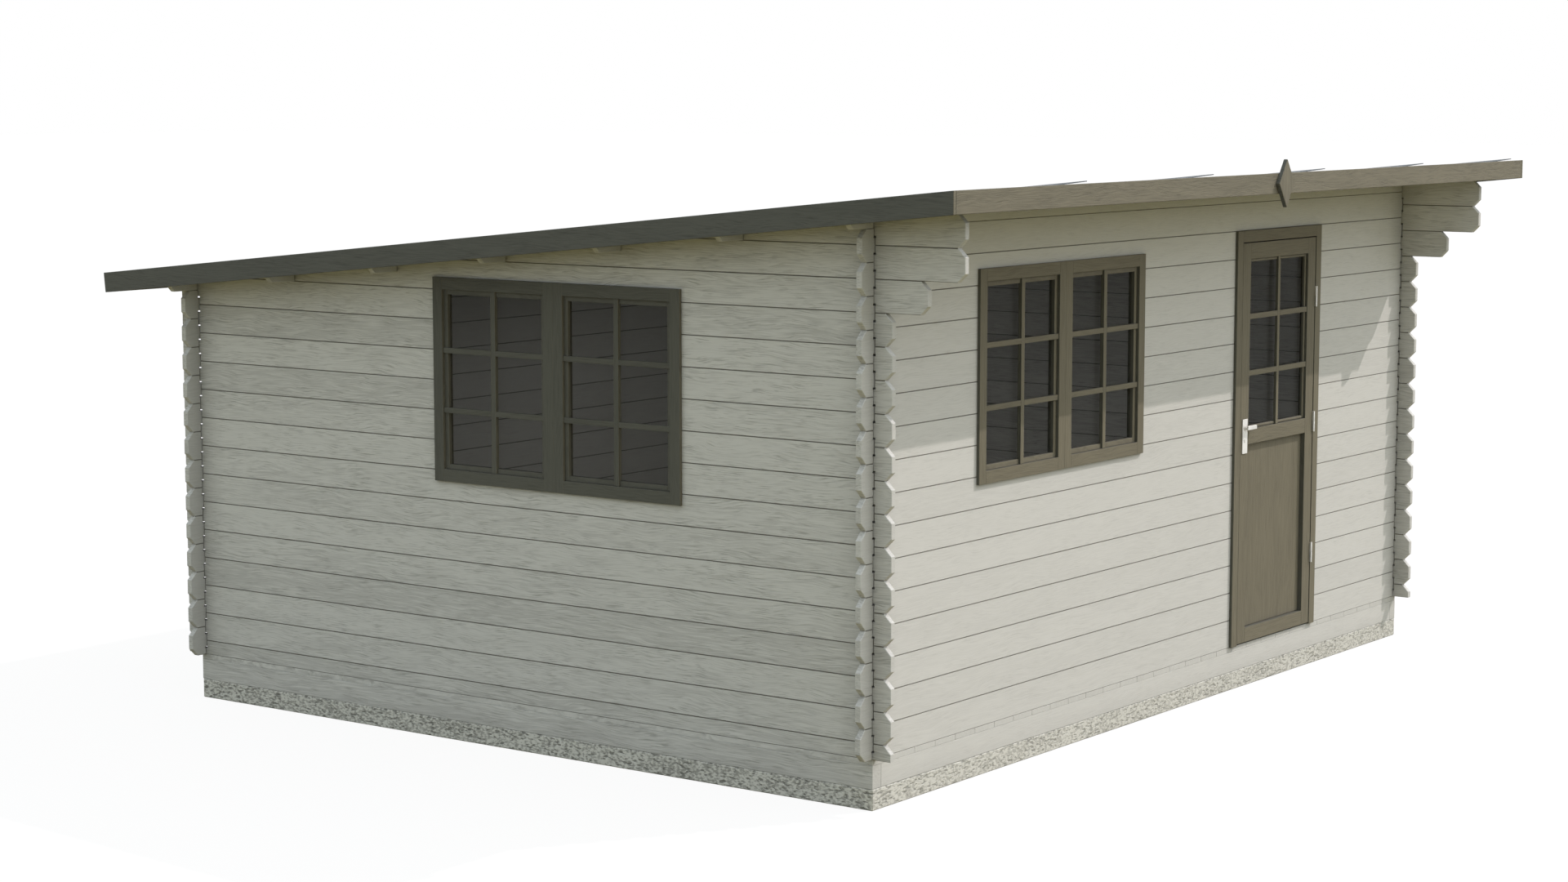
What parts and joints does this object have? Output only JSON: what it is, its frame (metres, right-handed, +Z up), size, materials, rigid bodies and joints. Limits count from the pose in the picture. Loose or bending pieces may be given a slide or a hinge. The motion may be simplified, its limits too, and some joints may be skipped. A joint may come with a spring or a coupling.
{
  "type": "log cabin",
  "caption": "Single-pitch log cabin with crossed log corners, purlins, lapped felt roof, fixed double windows and a glazed door that swings outward on hinges.",
  "frame": {"origin": "centre of the slab's underside, at ground level, midway between the outer log faces", "axes": "+X to the right along the front wall, +Y from the front wall to the back wall, +Z up"},
  "size_m": [5.479, 4.8404, 2.6039],
  "materials": {
    "log_wood": "weathered grey planed timber",
    "sill_wood": "weathered grey sawn timber",
    "floor_wood": "planed boards",
    "deck_wood": "grey roof boards",
    "concrete": "speckled concrete",
    "felt": "mineral felt",
    "glass": "clear glass",
    "steel": "brushed",
    "fascia_wood": "stained timber",
    "trim_wood": "dark olive stained timber"
  },
  "bodies": {
    "cabin": {"back_fascia": "fascia_wood", "back_logs": "log_wood", "door_frame": "trim_wood", "door_inner_trim": "trim_wood", "door_threshold": "trim_wood", "fascia_diamond": "fascia_wood", "floor_boards": "floor_wood", "floor_joists": "floor_wood", "foundation_slab": "concrete", "frame_hinges": "steel", "front_fascia_left": "fascia_wood", "front_fascia_right": "fascia_wood", "front_logs_door_right": "log_wood", "front_logs_low": "log_wood", "front_logs_top": "log_wood", "front_logs_window_left": "log_wood", "front_logs_window_right": "log_wood", "front_window_frame": "trim_wood", "front_window_glass": "glass", "front_window_inner_trim": "trim_wood", "front_window_sashes": "trim_wood", "left_fascia": "fascia_wood", "left_logs_low": "log_wood", "left_logs_top": "log_wood", "left_logs_window_back": "log_wood", "left_logs_window_front": "log_wood", "right_fascia": "fascia_wood", "right_logs": "log_wood", "roof_deck": "deck_wood", "roof_felt": "felt", "roof_purlins": "log_wood", "side_window_frame": "trim_wood", "side_window_glass": "glass", "side_window_inner_trim": "trim_wood", "side_window_sashes": "trim_wood", "sill_beams": "sill_wood"},
    "door": {"door_leaf": "trim_wood", "door_panel": "trim_wood", "door_glass": "glass", "leaf_hinges": "steel", "handle_plates": "steel"},
    "handle": {"door_lever": "steel"}
  },
  "joints": [
    {"name": "door_swing", "type": "hinge", "parent": "cabin", "child": "door", "pos_m": [1.4185, -1.9795, 1.2], "axis": [0, 0, 1], "range_deg": [0, 120]},
    {"name": "handle_turn", "type": "hinge", "parent": "door", "child": "handle", "pos_m": [0.687, -1.952, 1.283], "axis": [0, 1, 0], "range_deg": [0, 40], "stiffness_Nm_per_rad": 1.5, "springref_deg": -34.38}
  ]
}
